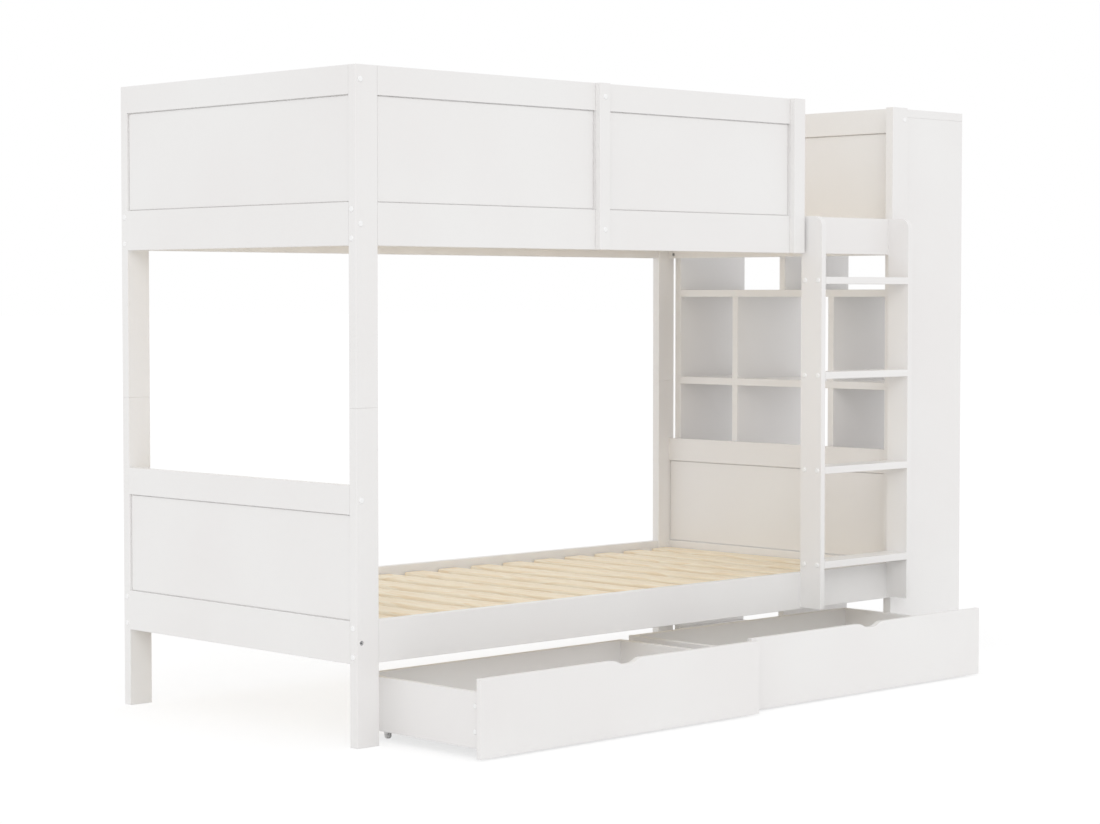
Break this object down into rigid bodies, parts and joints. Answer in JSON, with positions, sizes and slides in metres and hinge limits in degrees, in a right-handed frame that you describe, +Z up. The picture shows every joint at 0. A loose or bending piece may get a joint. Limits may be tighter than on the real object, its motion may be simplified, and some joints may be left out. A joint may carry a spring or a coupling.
{
  "type": "bunk bed",
  "caption": "White bunk bed with panelled ends, a guard rail, a board ladder, an open bookcase at the head end and rolling drawers below.",
  "frame": {"origin": "on the floor at the centre of the whole footprint, with the drawers as pulled out in the rest pose", "axes": "+X along the bed from the foot to the head and the bookcase, +Y from the ladder side to the rear, +Z up"},
  "size_m": [2.4172, 1.3082, 1.643],
  "materials": {
    "white_lacquer": "satin white lacquer on board",
    "drawer_base": "matt white-faced hardboard",
    "pine": "planed natural pine",
    "white_plastic": "smooth white",
    "screw_steel": "zinc plated",
    "castor_steel": "white powder-coated sheet steel",
    "castor_wheel": "pale grey moulded"
  },
  "bodies": {
    "bed": {"bookcase_bay_dividers": "white_lacquer", "bookcase_centre_dividers": "white_lacquer", "bookcase_shelves": "white_lacquer", "bookcase_sides": "white_lacquer", "bookcase_top_and_base": "white_lacquer", "connector_screws": "screw_steel", "end_panels": "white_lacquer", "guard_end_stile": "white_lacquer", "guard_front_panels": "white_lacquer", "guard_front_top_rail": "white_lacquer", "guard_middle_stile": "white_lacquer", "guard_rear_panel": "white_lacquer", "guard_rear_top_rail": "white_lacquer", "ladder_rungs": "white_lacquer", "ladder_stiles": "white_lacquer", "lower_foot_bottom_rail": "white_lacquer", "lower_foot_top_rail": "white_lacquer", "lower_head_bottom_rail": "white_lacquer", "lower_head_top_rail": "white_lacquer", "lower_side_rail_front": "white_lacquer", "lower_side_rail_rear": "white_lacquer", "lower_slats": "pine", "post_foot_front_lower": "white_lacquer", "post_foot_front_upper": "white_lacquer", "post_foot_rear_lower": "white_lacquer", "post_foot_rear_upper": "white_lacquer", "post_head_front_lower": "white_lacquer", "post_head_front_upper": "white_lacquer", "post_head_rear_lower": "white_lacquer", "post_head_rear_upper": "white_lacquer", "post_joint_pins": "screw_steel", "screw_caps": "white_plastic", "slat_ledgers": "pine", "upper_foot_bottom_rail": "white_lacquer", "upper_foot_top_rail": "white_lacquer", "upper_head_bottom_rail": "white_lacquer", "upper_head_top_rail": "white_lacquer", "upper_side_rail_front": "white_lacquer", "upper_side_rail_rear": "white_lacquer", "upper_slats": "pine"},
    "drawer_left": {"drawer_left_bottom": "drawer_base", "drawer_left_box_ends": "white_lacquer", "drawer_left_box_sides": "white_lacquer", "drawer_left_castor_mounts": "castor_steel", "drawer_left_front": "white_lacquer", "drawer_left_screws": "white_plastic"},
    "drawer_left_wheel_front_left": {"drawer_left_wheel_front_left": "castor_wheel"},
    "drawer_left_wheel_front_right": {"drawer_left_wheel_front_right": "castor_wheel"},
    "drawer_left_wheel_rear_left": {"drawer_left_wheel_rear_left": "castor_wheel"},
    "drawer_left_wheel_rear_right": {"drawer_left_wheel_rear_right": "castor_wheel"},
    "drawer_right": {"drawer_right_bottom": "drawer_base", "drawer_right_box_ends": "white_lacquer", "drawer_right_box_sides": "white_lacquer", "drawer_right_castor_mounts": "castor_steel", "drawer_right_front": "white_lacquer", "drawer_right_screws": "white_plastic"},
    "drawer_right_wheel_front_left": {"drawer_right_wheel_front_left": "castor_wheel"},
    "drawer_right_wheel_front_right": {"drawer_right_wheel_front_right": "castor_wheel"},
    "drawer_right_wheel_rear_left": {"drawer_right_wheel_rear_left": "castor_wheel"},
    "drawer_right_wheel_rear_right": {"drawer_right_wheel_rear_right": "castor_wheel"}
  },
  "joints": [
    {"name": "drawer_left_slide", "type": "slide", "parent": "bed", "child": "drawer_left", "axis": [0, -1, 0], "range_m": [-0.319, 0.125]},
    {"name": "drawer_left_wheel_front_left_roll", "type": "hinge", "parent": "drawer_left", "child": "drawer_left_wheel_front_left", "pos_m": [-1.0534, -0.5991, 0.01], "axis": [1, 0, 0], "continuous": true},
    {"name": "drawer_left_wheel_front_right_roll", "type": "hinge", "parent": "drawer_left", "child": "drawer_left_wheel_front_right", "pos_m": [-0.2174, -0.5991, 0.01], "axis": [1, 0, 0], "continuous": true},
    {"name": "drawer_left_wheel_rear_left_roll", "type": "hinge", "parent": "drawer_left", "child": "drawer_left_wheel_rear_left", "pos_m": [-1.0534, -0.2541, 0.01], "axis": [1, 0, 0], "continuous": true},
    {"name": "drawer_left_wheel_rear_right_roll", "type": "hinge", "parent": "drawer_left", "child": "drawer_left_wheel_rear_right", "pos_m": [-0.2174, -0.2541, 0.01], "axis": [1, 0, 0], "continuous": true},
    {"name": "drawer_right_slide", "type": "slide", "parent": "bed", "child": "drawer_right", "axis": [0, -1, 0], "range_m": [-0.279, 0.165]},
    {"name": "drawer_right_wheel_front_left_roll", "type": "hinge", "parent": "drawer_right", "child": "drawer_right_wheel_front_left", "pos_m": [-0.0574, -0.5591, 0.01], "axis": [1, 0, 0], "continuous": true},
    {"name": "drawer_right_wheel_front_right_roll", "type": "hinge", "parent": "drawer_right", "child": "drawer_right_wheel_front_right", "pos_m": [0.7786, -0.5591, 0.01], "axis": [1, 0, 0], "continuous": true},
    {"name": "drawer_right_wheel_rear_left_roll", "type": "hinge", "parent": "drawer_right", "child": "drawer_right_wheel_rear_left", "pos_m": [-0.0574, -0.2141, 0.01], "axis": [1, 0, 0], "continuous": true},
    {"name": "drawer_right_wheel_rear_right_roll", "type": "hinge", "parent": "drawer_right", "child": "drawer_right_wheel_rear_right", "pos_m": [0.7786, -0.2141, 0.01], "axis": [1, 0, 0], "continuous": true}
  ],
  "couplings": [
    {"joint": "drawer_left_wheel_front_left_roll", "follows": "drawer_left_slide", "rad_per_m": 100},
    {"joint": "drawer_left_wheel_front_right_roll", "follows": "drawer_left_slide", "rad_per_m": 100},
    {"joint": "drawer_left_wheel_rear_left_roll", "follows": "drawer_left_slide", "rad_per_m": 100},
    {"joint": "drawer_left_wheel_rear_right_roll", "follows": "drawer_left_slide", "rad_per_m": 100},
    {"joint": "drawer_right_wheel_front_left_roll", "follows": "drawer_right_slide", "rad_per_m": 100},
    {"joint": "drawer_right_wheel_front_right_roll", "follows": "drawer_right_slide", "rad_per_m": 100},
    {"joint": "drawer_right_wheel_rear_left_roll", "follows": "drawer_right_slide", "rad_per_m": 100},
    {"joint": "drawer_right_wheel_rear_right_roll", "follows": "drawer_right_slide", "rad_per_m": 100}
  ]
}
